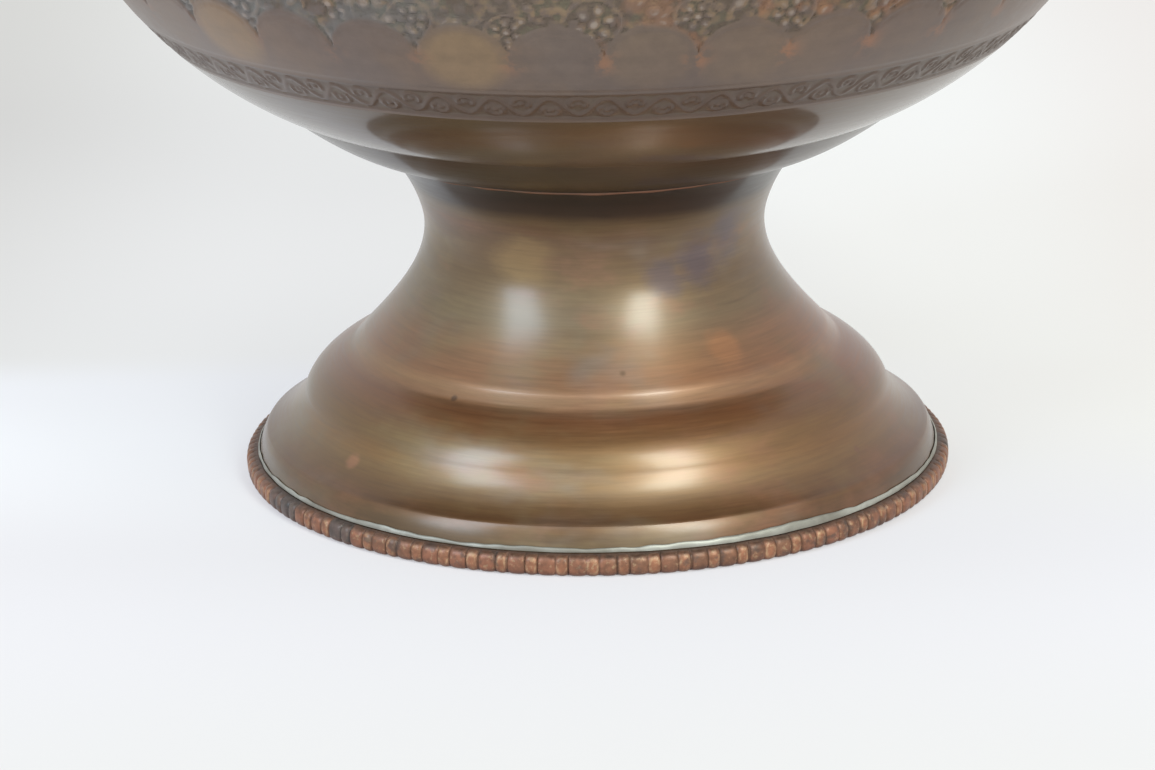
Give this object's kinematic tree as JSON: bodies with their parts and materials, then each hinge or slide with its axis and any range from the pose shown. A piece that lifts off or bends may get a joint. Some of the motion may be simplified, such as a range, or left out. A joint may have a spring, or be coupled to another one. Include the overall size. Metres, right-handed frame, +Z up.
{
  "type": "footed vase",
  "caption": "Footed vase of spun aged brass: squat round body on a cup and waisted, stepped foot edged with bead-and-reel strip, with a short neck and flared, wired mouth.",
  "frame": {"origin": "centre of the circle that the foot stands on", "axes": "+Z up along the axis of the vase; X and Y across it, with -Y towards the picture's camera"},
  "size_m": [0.232, 0.232, 0.2924],
  "materials": {
    "brown_brass": "aged brown-bronze brass with fine turning lines",
    "dark_brass": "dark brown patina over brass",
    "grey_brass": "grey-brown patina, chased, with worn coppery spots",
    "coppery_strip": "copper-red tarnished strip with dark recesses and rubbed high spots",
    "solder": "dull grey soft solder"
  },
  "bodies": {
    "root": {"foot_bead_strip": "coppery_strip", "foot_shell": "brown_brass", "foot_solder_seam": "solder", "stem_solder_ring": "coppery_strip", "base_cup": "dark_brass", "lower_bowl": "grey_brass", "shoulder": "grey_brass", "neck_collar": "brown_brass", "neck": "brown_brass", "rim_wire": "brown_brass"}
  },
  "joints": []
}
